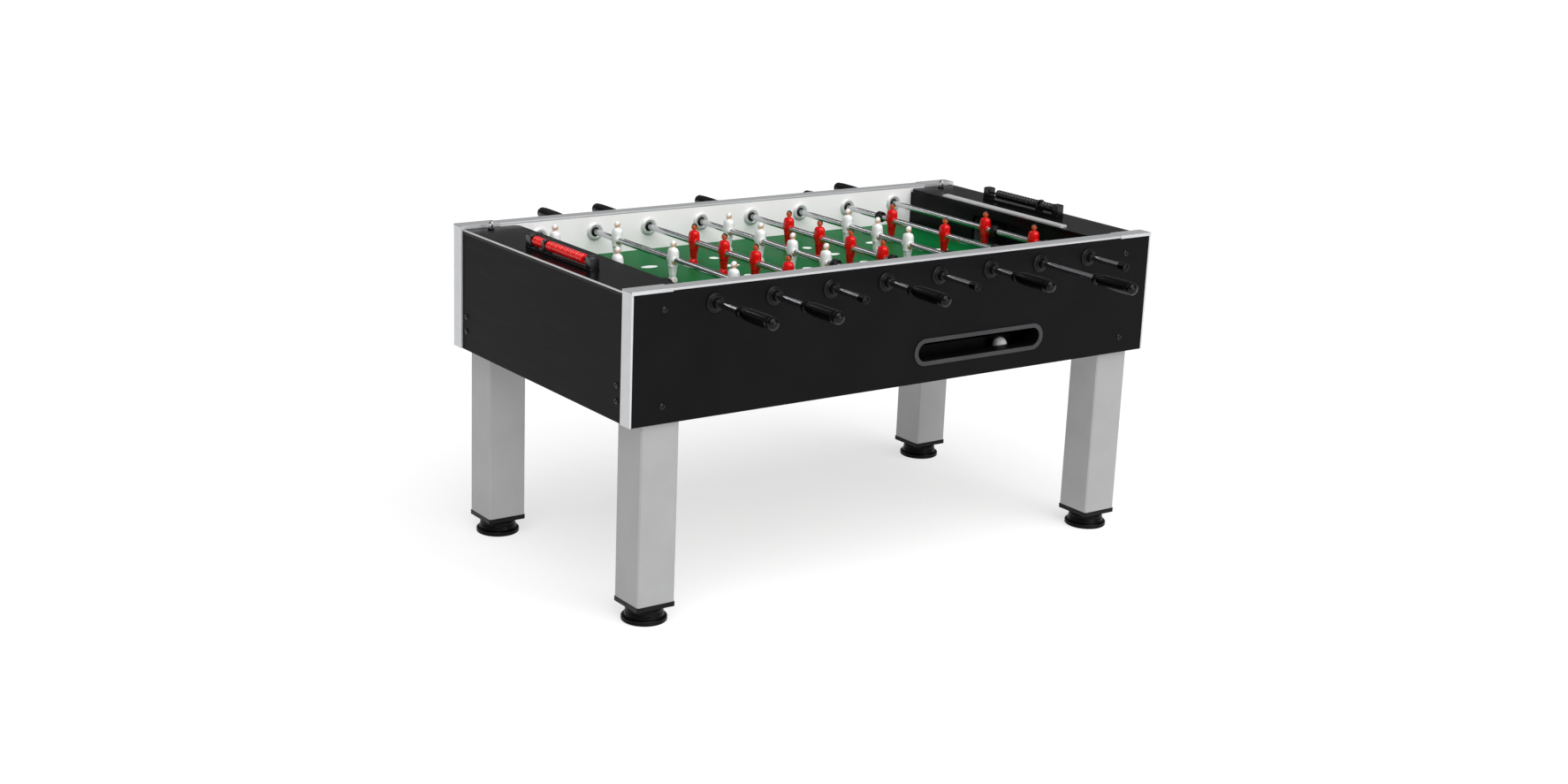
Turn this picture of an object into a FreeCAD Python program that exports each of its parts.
"""Foosball table: a football games table on four legs, built piece by piece.

Units are millimetres. The origin is on the floor, midway between the four feet.
+X runs along the table, -Y is the side with the ball slot, +Z is up.
"""

import FreeCAD, Part
import math
import os
from collections import namedtuple

V = FreeCAD.Vector

# ---- driving dimensions --------------------------------------------------------------
table_length = 1620.0
table_width = 860.0
table_height = 820.0
body_height = 318.0
side_board = 41.0
end_bay = 160.0
rod_drop = 45.0
rod_radius = 8.0
rod_wall = 2.5
leg_side = 104.0
leg_inset_x = 42.0
leg_inset_y = 14.0
foot_height = 40.0
ball_radius = 19.0
slot_length = 402.0
slot_height = 48.0
goal_width = 220.0
goal_height = 72.0

# ---- clearances and fits -------------------------------------------------------------
running_gap = 0.05
free_gap = 0.4
man_floor_gap = 3.0
man_wall_gap = 5.0

# ---- sheet and stock thicknesses -----------------------------------------------------
strip_web = 3.0
strip_flange = 1.2
strip_flange_depth = 2.5
cap_skin = 1.2
cap_length = 110.0
end_panel = 18.0
end_panel_inset = 4.0
cover_thick = 10.0
cover_drop = 8.0
cover_overhang = 2.0
goal_wall = 12.0
playfield_thick = 8.0
base_thick = 10.0
tray_wall = 4.0
leg_wall = 3.0
leg_plate = 6.0
leg_cap = 12.0
leg_chamfer = 3.5
cap_overlap = 1.0
cap_plug = 22.0

# ---- lids, goals and the bar over the right goal -------------------------------------
lid_corner = 18.0
mouth_corner = 16.0
bar_setback = 4.0
bar_width = 24.0
bar_half_length = 250.0
bar_thick = 6.0
bar_corner = 5.0

# ---- ball return, tray and slot ------------------------------------------------------
chute_drop = 78.0
chute_setback = 40.0
chute_end_setback = 34.0
chute_gap = 2.0
channel_side_room = 7.0
channel_head_room = 10.0
tray_end_room = 20.0
tray_back_room = 18.0
tray_drop = 48.0
tray_lift = 10.0
tray_lip_gap = 4.0
trim_reach = 24.0
trim_rise = 22.0
trim_proud = 3.0
trim_fit = 7.0
sleeve_room = 8.0
ball_shift = 126.0
ball_wall_gap = 1.0
ball_floor_gap = 0.3
slot_x = 230.0
slot_rise = 79.0

# ---- the figures, measured from the rod's centre line --------------------------------
man_head_top = 48.0
man_foot_drop = 59.0
man_shoulder = 30.0
man_depth = 20.0
foot_block = 22.0
head_radius = 9.5
neck_radius = 5.0
neck_low = 26.0
neck_high = 36.0
man_reach = 30.0

# ---- rod furniture -------------------------------------------------------------------
handle_length = 142.0
handle_radius = 16.5
cap_radius = 10.5
end_cap_length = 24.0
end_cap_bevel = 1.5
tube_cover = 6.0
stop_radius = 15.0
stop_length = 18.0

# ---- bearings ------------------------------------------------------------------------
flange_radius = 24.0
flange_thick = 4.0
hub_radius = 17.0
hub_proud = 8.0
spigot_radius = 16.5
ring_proud = 6.0
bush_radius = 12.5
bush_nose_radius = 10.7
nose_proud = 20.0
lip = 1.5
ring_rim = 2.5
ring_bevel = 6.0

# ---- score counters ------------------------------------------------------------------
counter_length = 310.0
counter_shift = 20.0
counter_inset = 56.0
counter_width = 26.0
counter_height = 34.0
counter_base = 5.0
counter_post = 24.0
counter_divider = 10.0
counter_wire = 3.0
bead_lift = 3.0
bead_radius = 12.5
bead_length = 23.0
bead_pitch = 24.0
bead_play = 8.0
scored_count = 2
waiting_count = 7

# ---- fasteners and feet --------------------------------------------------------------
bolt_shank = 4.0
bolt_head = 8.0
bolt_head_proud = 3.0
board_bolt_inset = 88.0
board_bolt_from_top = 48.0
board_bolt_rise = 42.0
end_bolt_inset = 22.0
end_bolt_rises = (88.0, 50.0)
eye_shank = 3.0
eye_base_radius = 9.0
eye_base_thick = 3.0
eye_rise = 14.0
eye_ring_radius = 7.5
eye_wire = 2.2
eye_inset_x = 70.0
eye_inset_y = 27.0
stem_radius = 8.0
stem_depth = 26.0
pad_radius = 56.0

# ---- derived -------------------------------------------------------------------------
half_length = table_length / 2
half_width = table_width / 2
inner_half_width = half_width - side_board
inner_half_length = half_length - end_bay
body_bottom = table_height - body_height
rod_z = table_height - rod_drop
field_top = rod_z - man_foot_drop - man_floor_gap
cover_top = table_height - cover_drop
panel_outer = half_length - end_panel_inset
panel_inner = panel_outer - end_panel
rod_count = 8
first_rod_gap = math.hypot(man_foot_drop, foot_block / 2) + man_wall_gap
rod_pitch = 2 * (inner_half_length - first_rod_gap) / (rod_count - 1)
slot_z = body_bottom + slot_rise
tray_floor = slot_z - tray_drop
stop_limit = inner_half_width - ring_proud

# men and stops are placed as fractions of the inner half width, +1 at the back wall;
# front and back give what each rod end carries and how far it reaches past the boards
RodPlan = namedtuple("RodPlan", "men stops front back")
rod_plans = [
    RodPlan((0.79, 0.0), (-0.57,), ("handle", 242.0), ("cap", 133.0)),
    RodPlan((0.71, 0.02, -0.67), (-0.77,), ("handle", 262.0), ("handle", 248.0)),
    RodPlan((0.43, 0.07, -0.29, -0.65), (-0.76,), ("cap", 137.0), ("handle", 238.0)),
    RodPlan((0.65, 0.27, -0.10, -0.47), (-0.58,), ("handle", 236.0), ("cap", 139.0)),
    RodPlan((0.54, 0.18, -0.17, -0.52), (-0.63,), ("cap", 147.0), ("handle", 228.0)),
    RodPlan((0.43, 0.09, -0.25), (-0.68,), ("handle", 233.0), ("cap", 142.0)),
    RodPlan((0.47, -0.12), (0.60, -0.66), ("handle", 345.0), ("handle", 165.0)),
    RodPlan((-0.05, -0.56), (-0.16, -0.70), ("cap", 142.0), ("handle", 233.0)),
]


# ---- small shape helpers -------------------------------------------------------------
def box(x0, x1, y0, y1, z0, z1):
    """Block between the given limits, in any order."""
    low = V(min(x0, x1), min(y0, y1), min(z0, z1))
    return Part.makeBox(abs(x1 - x0), abs(y1 - y0), abs(z1 - z0), low)


def rod_y(radius, x, z, y0, y1):
    """Cylinder along Y."""
    return Part.makeCylinder(radius, abs(y1 - y0), V(x, min(y0, y1), z), V(0, 1, 0))


def rod_up(radius, x, y, z0, z1):
    """Cylinder along Z."""
    return Part.makeCylinder(radius, z1 - z0, V(x, y, z0), V(0, 0, 1))


def fused(shapes):
    """One solid from several that touch or overlap."""
    whole = shapes[0]
    for shape in shapes[1:]:
        whole = whole.fuse(shape)
    return whole.removeSplitter()


def prism(points, direction):
    """Closed outline pushed along a vector."""
    wire = Part.makePolygon(points + [points[0]])
    return Part.Face(wire).extrude(direction)


def rounded_slab(x0, x1, y0, y1, z0, z1, radius):
    """Block with its upright edges rounded."""
    block = box(x0, x1, y0, y1, z0, z1)
    upright = [e for e in block.Edges if abs(e.Vertexes[0].Z - e.Vertexes[1].Z) > 1e-6]
    return block.makeFillet(radius, upright)


def stadium(length, height, y0, y1, x, z):
    """Slot shape with round ends, facing along Y."""
    radius = height / 2
    straight = length / 2 - radius
    middle = box(x - straight, x + straight, y0, y1, z - radius, z + radius)
    ends = [rod_y(radius, x + side * straight, z, y0, y1) for side in (-1, 1)]
    return fused([middle] + ends)


def turned(profile, x, z, y0, way):
    """Solid of revolution about a line along Y from (distance, radius) points."""
    points = [V(x, y0 + way * along, z + radius) for along, radius in profile]
    points = [V(x, points[0].y, z)] + points + [V(x, points[-1].y, z)]
    face = Part.Face(Part.makePolygon(points + [points[0]]))
    return face.revolve(V(x, 0, z), V(0, 1, 0), 360)


def save(name, shapes):
    """Write one node; several separate solids go out as one compound."""
    shape = shapes[0] if len(shapes) == 1 else Part.makeCompound(shapes)
    shape.exportStep(os.path.join("parts", name + ".step"))


def rod_x(index):
    """Place of a rod along the table, counted from 1 at the left."""
    return (index - (rod_count + 1) / 2) * rod_pitch


# ---- side boards and their edging ----------------------------------------------------
def board_bolt_places():
    """Where the bolts through the two side boards sit, as (x, z)."""
    across = half_length - board_bolt_inset
    heights = (table_height - board_bolt_from_top, body_bottom + board_bolt_rise)
    return [(side * across, z) for side in (-1, 1) for z in heights]


def side_board_shape(side):
    """Long board with its bearing holes and bolt holes; side is -1 front, 1 back."""
    inner = side * inner_half_width
    outer = side * half_width
    x_end = half_length - strip_web
    board = box(-x_end, x_end, inner, outer, body_bottom, table_height - strip_web)
    for index in range(1, rod_count + 1):
        board = board.cut(rod_y(spigot_radius + running_gap, rod_x(index), rod_z, inner, outer))
    for x, z in board_bolt_places():
        board = board.cut(rod_y(bolt_shank + free_gap, x, z, inner, outer))
    if side < 0:
        sleeve = stadium(slot_length + sleeve_room, slot_height + sleeve_room, inner, outer,
                         slot_x, slot_z)
        board = board.cut(sleeve)
    rebate = strip_flange
    depth = strip_flange_depth
    rim = box(-half_length, half_length, inner, outer, body_bottom, table_height)
    core = box(depth - x_end, x_end - depth, inner, outer, body_bottom,
               table_height - strip_web - depth)
    band = rim.cut(core)
    waist = box(-half_length, half_length, inner + side * rebate, outer - side * rebate,
                body_bottom, table_height)
    return board.cut(band.cut(waist))


def edge_strip(side):
    """Aluminium U channel along the top of a board and down both of its ends."""
    inner = side * inner_half_width
    outer = side * half_width
    depth = strip_web + strip_flange_depth
    rim = box(-half_length, half_length, inner, outer, body_bottom, table_height)
    core = box(depth - half_length, half_length - depth, inner, outer, body_bottom,
               table_height - depth)
    slot = box(strip_web - half_length, half_length - strip_web,
               inner + side * strip_flange, outer - side * strip_flange,
               body_bottom, table_height - strip_web)
    strip = rim.cut(core).cut(slot)
    corners = [e for e in strip.Edges if is_top_corner(e)]
    return strip.makeFillet(strip_web * 0.9, corners)


def is_top_corner(edge):
    """True for the outer edge where the top of a strip turns down an end."""
    ends = [v.Point for v in edge.Vertexes]
    high = all(abs(p.z - table_height) < 1e-6 for p in ends)
    far = all(abs(abs(p.x) - half_length) < 1e-6 for p in ends)
    return len(ends) == 2 and high and far


def corner_cap(side_x, side_y):
    """Thin cap over the top of the channel at one corner of the table."""
    x_out = side_x * half_length
    x_in = side_x * (half_length - cap_length)
    y_in = side_y * (inner_half_width - cap_skin)
    y_out = side_y * (half_width + cap_skin)
    skirt = table_height - cover_drop + free_gap
    shell = box(x_in, x_out, y_in, y_out, skirt, table_height + cap_skin)
    hollow = box(x_in, x_out, side_y * inner_half_width, side_y * half_width,
                 skirt, table_height)
    return shell.cut(hollow)


# ---- ends ----------------------------------------------------------------------------
def end_bolt_places():
    """Where the bolts in an end panel sit, as (y, z)."""
    across = inner_half_width - end_bolt_inset
    return [(side * across, body_bottom + rise) for side in (-1, 1) for rise in end_bolt_rises]


def end_panel_shape(side):
    """Board across one end of the body."""
    panel = box(side * panel_inner, side * panel_outer, -inner_half_width, inner_half_width,
                body_bottom, cover_top - cover_thick)
    for y, z in end_bolt_places():
        start = V(side * panel_inner, y, z)
        hole = Part.makeCylinder(bolt_shank + free_gap, end_panel, start, V(side, 0, 0))
        panel = panel.cut(hole)
    return panel


def end_cover(side):
    """Lid over one end bay, rounded where it meets the playing area."""
    inner = side * (inner_half_length - cover_overhang)
    lid = box(inner, side * panel_outer, -inner_half_width, inner_half_width,
              cover_top - cover_thick, cover_top)
    corners = [e for e in lid.Edges
               if abs(e.Vertexes[0].X - inner) < 1e-6 and abs(e.Vertexes[1].X - inner) < 1e-6
               and abs(e.Vertexes[0].Z - e.Vertexes[1].Z) > 1e-6]
    lid = lid.makeFillet(lid_corner, corners)
    x, y = eye_place(side)
    return lid.cut(rod_up(eye_shank + free_gap, x, y, cover_top - cover_thick, cover_top))


def goal_wall_shape(side):
    """Inner end wall with the goal mouth cut up from the playing surface."""
    inner = side * inner_half_length
    outer = side * (inner_half_length + goal_wall)
    wall = box(inner, outer, -inner_half_width, inner_half_width,
               field_top, cover_top - cover_thick)
    mouth = box(inner, outer, -goal_width / 2, goal_width / 2,
                field_top - goal_height, field_top + goal_height)
    along = [e for e in mouth.Edges if abs(e.Vertexes[0].X - e.Vertexes[1].X) > 1e-6]
    return wall.cut(mouth.makeFillet(mouth_corner, along))


def goal_bar():
    """Flat bar on the edge of the right lid, over the goal."""
    inner = inner_half_length - cover_overhang + bar_setback
    return rounded_slab(inner, inner + bar_width, -bar_half_length, bar_half_length,
                        cover_top, cover_top + bar_thick, bar_corner)


# ---- playing surface, ball return and base -------------------------------------------
def playfield():
    """Flat playing surface, reaching under both inner end walls."""
    reach = inner_half_length + goal_wall
    return box(-reach, reach, -inner_half_width, inner_half_width,
               field_top - playfield_thick, field_top)


def base_board():
    """Floor of the body."""
    return box(-panel_inner, panel_inner, -inner_half_width, inner_half_width,
               body_bottom, body_bottom + base_thick)


def goal_chute(side):
    """Box behind one goal with a channel that leads down to the ball tray."""
    wall = tray_wall
    near = inner_half_length + goal_wall
    far = panel_inner - chute_gap
    half = goal_width / 2
    floor = field_top - chute_drop
    top = cover_top - cover_thick - chute_gap
    shell = box(side * near, side * far, -half - wall, half + wall, floor - wall, top)
    hollow = box(side * near, side * (far - wall), -half, half, floor, top)
    holder = shell.cut(hollow)
    start = V(side * (near + chute_setback), -half + chute_setback, floor)
    finish = V(slot_x + side * (slot_length / 2 - chute_end_setback), -inner_half_width,
               tray_top() + wall + ball_wall_gap)
    way = finish - start
    channel = channel_section(start, way)
    inside = channel_section(start, way, hollow=True)
    exit_hole = inside.common(shell)
    holder = holder.cut(exit_hole)
    keep = channel.cut(box(side * near, side * far, -half - wall, half + wall, floor - wall, top))
    keep = keep.cut(box(-near, near, -half_width, tray_back() + wall + free_gap,
                        body_bottom, field_top))
    return fused([holder, keep])


def channel_section(start, way, hollow=False):
    """Channel of square section swept straight along a slope, or its inside."""
    half = ball_radius + channel_side_room
    tall = 2 * ball_radius + channel_head_room
    across = V(-way.y, way.x, 0).normalize()
    up = V(0, 0, 1)
    if hollow:
        corners = [(-half, 0.0), (half, 0.0), (half, tall), (-half, tall)]
    else:
        edge = half + tray_wall
        corners = [(-edge, -tray_wall), (edge, -tray_wall), (edge, tall), (half, tall),
                   (half, 0.0), (-half, 0.0), (-half, tall), (-edge, tall)]
    points = [start + across * a + up * b for a, b in corners]
    return prism(points, way)


def tray_back():
    """Inner face of the tray's back wall."""
    return 2 * ball_radius + tray_back_room - inner_half_width


def tray_top():
    """Top of the tray's walls, a little above the lower edge of the slot."""
    return slot_z - slot_height / 2 + tray_lift


def ball_tray():
    """Trough behind the slot, where the ball waits."""
    x0 = slot_x - slot_length / 2 - tray_end_room
    x1 = slot_x + slot_length / 2 + tray_end_room
    y0 = -inner_half_width
    y1 = tray_back()
    top = tray_top()
    shell = box(x0 - tray_wall, x1 + tray_wall, y0, y1 + tray_wall,
                tray_floor - tray_wall, top)
    tray = shell.cut(box(x0, x1, y0, y1, tray_floor, top))
    lip_block = box(x0, x1, y0, y0 + tray_wall, tray_floor,
                    slot_z - slot_height / 2 - tray_lip_gap)
    return fused([tray, lip_block])


def slot_trim():
    """Lined frame round the ball slot in the front board."""
    face = -half_width
    proud = face - trim_proud
    flange = stadium(slot_length + trim_reach, slot_height + trim_rise, proud, face,
                     slot_x, slot_z)
    liner = stadium(slot_length + trim_fit, slot_height + trim_fit, face, -inner_half_width,
                    slot_x, slot_z)
    hole = stadium(slot_length, slot_height, proud, -inner_half_width, slot_x, slot_z)
    return fused([flange, liner]).cut(hole)


def ball():
    """Ball resting in the tray."""
    y = ball_radius + tray_wall + ball_wall_gap - inner_half_width
    z = tray_floor + ball_radius + ball_floor_gap
    return Part.makeSphere(ball_radius, V(slot_x + ball_shift, y, z))


# ---- bearings ------------------------------------------------------------------------
def outer_flange(index, side):
    """Black flange with the tube that lines the board and holds the bush."""
    x = rod_x(index)
    face = side * half_width
    inner = side * inner_half_width
    disc = rod_y(flange_radius, x, rod_z, face, face + side * flange_thick)
    hub = rod_y(hub_radius, x, rod_z, face, face + side * hub_proud)
    tube = rod_y(spigot_radius, x, rod_z, inner, face)
    body = fused([disc, hub, tube])
    pocket = rod_y(bush_radius + running_gap, x, rod_z, inner,
                   face + side * (hub_proud - lip))
    mouth = rod_y(bush_nose_radius + free_gap, x, rod_z, face, face + side * hub_proud)
    return body.cut(pocket).cut(mouth)


def inner_ring(index, side):
    """Bevelled ring on the inner face of a board, closing the bush in."""
    x = rod_x(index)
    inner = side * inner_half_width
    profile = [(0.0, flange_radius), (ring_rim, flange_radius),
               (ring_proud, flange_radius - ring_bevel)]
    ring = turned(profile, x, rod_z, inner, -side)
    pocket = rod_y(bush_radius + running_gap, x, rod_z, inner,
                   inner - side * (ring_proud - lip))
    mouth = rod_y(bush_nose_radius + free_gap, x, rod_z, inner, inner - side * ring_proud)
    return ring.cut(pocket).cut(mouth)


def bush(index, side):
    """Sleeve that turns in its flange while the rod slides through it."""
    x = rod_x(index)
    outer_end = side * (half_width + nose_proud)
    inner_end = side * (inner_half_width - ring_proud)
    shoulder = lip + free_gap
    sleeve = rod_y(bush_radius, x, rod_z, inner_end + side * shoulder,
                   side * (half_width + hub_proud - shoulder))
    nose = rod_y(bush_nose_radius, x, rod_z, inner_end, outer_end)
    bore = rod_y(rod_radius + running_gap, x, rod_z, inner_end, outer_end)
    return fused([sleeve, nose]).cut(bore)


# ---- rods, figures and grips ---------------------------------------------------------
def rod_reach(plan):
    """Where a rod's tube ends: (front y, back y), inside its handles and caps."""
    return (tube_cover - half_width - plan.front[1], half_width + plan.back[1] - tube_cover)


def rod_tube(index, plan):
    """Steel tube that carries the figures."""
    front, back = rod_reach(plan)
    tube = rod_y(rod_radius, rod_x(index), rod_z, front, back)
    return tube.cut(rod_y(rod_radius - rod_wall, rod_x(index), rod_z, front, back))


def rod_end(index, kind, reach, side):
    """Handle or end cap at one end of a rod."""
    tip = side * (half_width + reach)
    x = rod_x(index)
    if kind == "handle":
        length = handle_length
        profile = [(0.0, handle_radius * 0.55), (3.0, handle_radius * 0.86),
                   (9.0, handle_radius), (length * 0.55, handle_radius * 0.97),
                   (length * 0.83, handle_radius * 0.74), (length * 0.93, handle_radius * 0.95),
                   (length, handle_radius * 0.88)]
    else:
        length = end_cap_length
        profile = [(0.0, cap_radius - end_cap_bevel), (end_cap_bevel, cap_radius),
                   (length, cap_radius)]
    grip = turned(profile, x, rod_z, tip, -side)
    tube_end = tip - side * tube_cover
    return grip.cut(rod_y(rod_radius, x, rod_z, tube_end, tip - side * length))


def stop_ring(index, place):
    """Rubber ring that stops a rod against the inner wall."""
    x = rod_x(index)
    y = place * inner_half_width
    ring = rod_y(stop_radius, x, rod_z, y - stop_length / 2, y + stop_length / 2)
    return ring.cut(rod_y(rod_radius, x, rod_z, y - stop_length / 2, y + stop_length / 2))


def man(index, place):
    """One moulded figure, clamped on the rod through the chest."""
    x = rod_x(index)
    y = place * inner_half_width
    half = man_shoulder / 2
    front = [(-8.0, 30.0), (-half + 3.0, 27.0), (-half, 20.0), (-half, 4.0), (-9.0, -16.0),
             (-7.0, -44.0), (-foot_block / 2, -48.0), (-foot_block / 2, -man_foot_drop)]
    outline = front + [(-a, b) for a, b in reversed(front)]
    seen_front = prism([V(x - man_reach, y + a, rod_z + b) for a, b in outline],
                       V(2 * man_reach, 0, 0))
    depth = man_depth / 2
    flank = [(-5.0, 30.0), (-depth + 1.0, 24.0), (-depth - 2.0, 6.0), (-depth + 2.0, -16.0),
             (-5.5, -44.0), (-foot_block / 2 + 2.0, -48.0), (-foot_block / 2, -man_foot_drop)]
    outline = flank + [(-a, b) for a, b in reversed(flank)]
    seen_side = prism([V(x + a, y - man_reach, rod_z + b) for a, b in outline],
                      V(0, 2 * man_reach, 0))
    head = Part.makeSphere(head_radius, V(x, y, rod_z + man_head_top - head_radius))
    neck = rod_up(neck_radius, x, y, rod_z + neck_low, rod_z + neck_high)
    body = fused([seen_front.common(seen_side), neck, head])
    return body.cut(rod_y(rod_radius, x, rod_z, y - man_reach, y + man_reach))


def save_rod(index, plan):
    """Write the four nodes of one rod."""
    name = "rod_%d" % index
    save(name + "_tube", [rod_tube(index, plan)])
    save(name + "_players", [man(index, place) for place in plan.men])
    ends = [rod_end(index, plan.front[0], plan.front[1], -1),
            rod_end(index, plan.back[0], plan.back[1], 1)]
    save(name + "_grips_and_stops", ends + [stop_ring(index, place) for place in plan.stops])
    save(name + "_bushes", [bush(index, side) for side in (-1, 1)])


# ---- score counters ------------------------------------------------------------------
def counter_x(side):
    """Place of a counter along the table."""
    return side * (half_length - counter_inset)


def counter_y(side, along):
    """Place on a counter, measured from its scored end; the two ends mirror each other."""
    return side * (counter_shift - counter_length / 2 + along)


def score_frame(side):
    """Base, three posts and the wire that carries the beads of one counter."""
    x0 = counter_x(side) - counter_width / 2
    x1 = counter_x(side) + counter_width / 2
    top = cover_top + counter_height
    ends = [(0.0, counter_post), (divider_start(), divider_start() + counter_divider),
            (counter_length - counter_post, counter_length)]
    pieces = [box(x0, x1, counter_y(side, 0.0), counter_y(side, counter_length),
                  cover_top, cover_top + counter_base)]
    for a, b in ends:
        pieces.append(box(x0, x1, counter_y(side, a), counter_y(side, b), cover_top, top))
    pieces.append(rod_y(counter_wire, counter_x(side), bead_z(),
                        counter_y(side, 0.0), counter_y(side, counter_length)))
    return fused(pieces)


def divider_start():
    """Near face of the middle post, past the room for the scored beads."""
    return counter_post + scored_count * bead_pitch + bead_play


def bead_z():
    """Height of the beads' centre line."""
    return cover_top + counter_base + bead_radius + bead_lift


def bead(side, along):
    """One grooved bead that slides on the wire."""
    x = counter_x(side)
    start = counter_y(side, along)
    profile = [(0.0, bead_radius - 1.5), (2.0, bead_radius), (9.0, bead_radius),
               (11.5, bead_radius - 1.8), (14.0, bead_radius), (21.0, bead_radius),
               (bead_length, bead_radius - 1.5)]
    shape = turned(profile, x, bead_z(), start, side)
    return shape.cut(rod_y(counter_wire + running_gap, x, bead_z(),
                           start, start + side * bead_length))


def save_beads(side, word):
    """Write the two groups of beads on one counter."""
    rest = bead_play / 2
    scored = [bead(side, counter_post + rest + i * bead_pitch) for i in range(scored_count)]
    first = divider_start() + counter_divider + rest
    waiting = [bead(side, first + i * bead_pitch) for i in range(waiting_count)]
    save(word + "_scored_beads", scored)
    save(word + "_waiting_beads", waiting)


# ---- fasteners -----------------------------------------------------------------------
def eye_place(side):
    """Where the lifting eye of a lid stands."""
    return side * (half_length - eye_inset_x), inner_half_width - eye_inset_y


def board_bolts():
    """Domed bolts through the side boards and end panels."""
    bolts = []
    for side in (-1, 1):
        for x, z in board_bolt_places():
            face = side * half_width
            profile = [(0.0, bolt_head), (1.2, bolt_head), (bolt_head_proud, bolt_head * 0.6)]
            head = turned(profile, x, z, face, side)
            shank = rod_y(bolt_shank, x, z, face, side * inner_half_width)
            bolts.append(fused([head, shank]))
        for y, z in end_bolt_places():
            head = Part.makeCylinder(bolt_head, bolt_head_proud, V(side * panel_outer, y, z),
                                     V(side, 0, 0))
            shank = Part.makeCylinder(bolt_shank, end_panel, V(side * panel_inner, y, z),
                                      V(side, 0, 0))
            bolts.append(fused([head, shank]))
    return bolts


def lid_eye(side):
    """Eye screw that holds a lid down and lifts it off."""
    x, y = eye_place(side)
    base = rod_up(eye_base_radius, x, y, cover_top, cover_top + eye_base_thick)
    ring_low = cover_top + eye_rise - eye_ring_radius
    shank = rod_up(eye_shank, x, y, cover_top - cover_thick, ring_low + eye_wire / 2)
    ring = Part.makeTorus(eye_ring_radius, eye_wire, V(x, y, cover_top + eye_rise), V(1, 0, 0))
    return fused([base, shank, ring])


# ---- legs and feet -------------------------------------------------------------------
def leg_places():
    """Centre of each leg with its name."""
    x = half_length - leg_inset_x - leg_side / 2
    y = half_width - leg_inset_y - leg_side / 2
    return [("front_left", -x, -y), ("front_right", x, -y),
            ("back_left", -x, y), ("back_right", x, y)]


def leg(x, y):
    """Square tube with its mounting plate closed in at the top."""
    half = leg_side / 2
    bottom = foot_height + leg_cap
    tube = box(x - half, x + half, y - half, y + half, bottom, body_bottom)
    upright = [e for e in tube.Edges if abs(e.Vertexes[0].Z - e.Vertexes[1].Z) > 1e-6]
    tube = tube.makeChamfer(leg_chamfer, upright)
    inner = half - leg_wall
    return tube.cut(box(x - inner, x + inner, y - inner, y + inner,
                        bottom, body_bottom - leg_plate))


def leg_end_cap(x, y):
    """Plug in the foot of a leg, with the hole that the foot's stem turns in."""
    half = leg_side / 2 + cap_overlap
    inner = leg_side / 2 - leg_wall - free_gap
    bottom = foot_height + leg_cap
    plate = rounded_slab(x - half, x + half, y - half, y + half, foot_height, bottom, leg_chamfer)
    plug = box(x - inner, x + inner, y - inner, y + inner, bottom, bottom + cap_plug)
    hole = rod_up(stem_radius + running_gap, x, y, foot_height,
                  foot_height + stem_depth + free_gap)
    return fused([plate, plug]).cut(hole)


def levelling_foot(x, y):
    """Round pad, collar and stem that turns in the leg's end cap."""
    collar_top = foot_height - 1.0
    collar = pad_radius - 8.0
    points = [V(0, 0, 0), V(pad_radius - 3.0, 0, 0), V(pad_radius, 0, 3.0),
              V(pad_radius, 0, 10.0), V(pad_radius - 3.0, 0, 13.0), V(collar, 0, 15.0),
              V(collar - 2.0, 0, collar_top - 6.0), V(collar - 8.0, 0, collar_top),
              V(stem_radius, 0, collar_top), V(stem_radius, 0, foot_height + stem_depth),
              V(0, 0, foot_height + stem_depth)]
    face = Part.Face(Part.makePolygon(points + [points[0]]))
    shape = face.revolve(V(0, 0, 0), V(0, 0, 1), 360)
    shape.translate(V(x, y, 0))
    return shape


# ---- write every node ----------------------------------------------------------------
def main():
    """Build and write all the nodes."""
    os.makedirs("parts", exist_ok=True)
    both = (-1, 1)
    save("front_board", [side_board_shape(-1)])
    save("back_board", [side_board_shape(1)])
    save("edge_strips", [edge_strip(side) for side in both])
    save("corner_caps", [corner_cap(a, b) for a in both for b in both])
    save("end_panels", [end_panel_shape(side) for side in both])
    save("end_covers", [end_cover(side) for side in both])
    save("goal_walls", [goal_wall_shape(side) for side in both])
    save("goal_bar", [goal_bar()])
    save("playfield", [playfield()])
    save("base_board", [base_board()])
    save("ball_return", [goal_chute(side) for side in both])
    save("ball_tray", [ball_tray()])
    save("slot_trim", [slot_trim()])
    save("ball", [ball()])
    every_rod = range(1, rod_count + 1)
    save("bearing_flanges", [outer_flange(i, side) for i in every_rod for side in both])
    save("bearing_rings", [inner_ring(i, side) for i in every_rod for side in both])
    for index, plan in zip(every_rod, rod_plans):
        save_rod(index, plan)
    save("score_frames", [score_frame(side) for side in both])
    save_beads(-1, "left")
    save_beads(1, "right")
    save("fasteners", board_bolts() + [lid_eye(side) for side in both])
    save("legs", [leg(x, y) for _, x, y in leg_places()])
    save("leg_end_caps", [leg_end_cap(x, y) for _, x, y in leg_places()])
    for name, x, y in leg_places():
        save("foot_" + name, [levelling_foot(x, y)])


main()
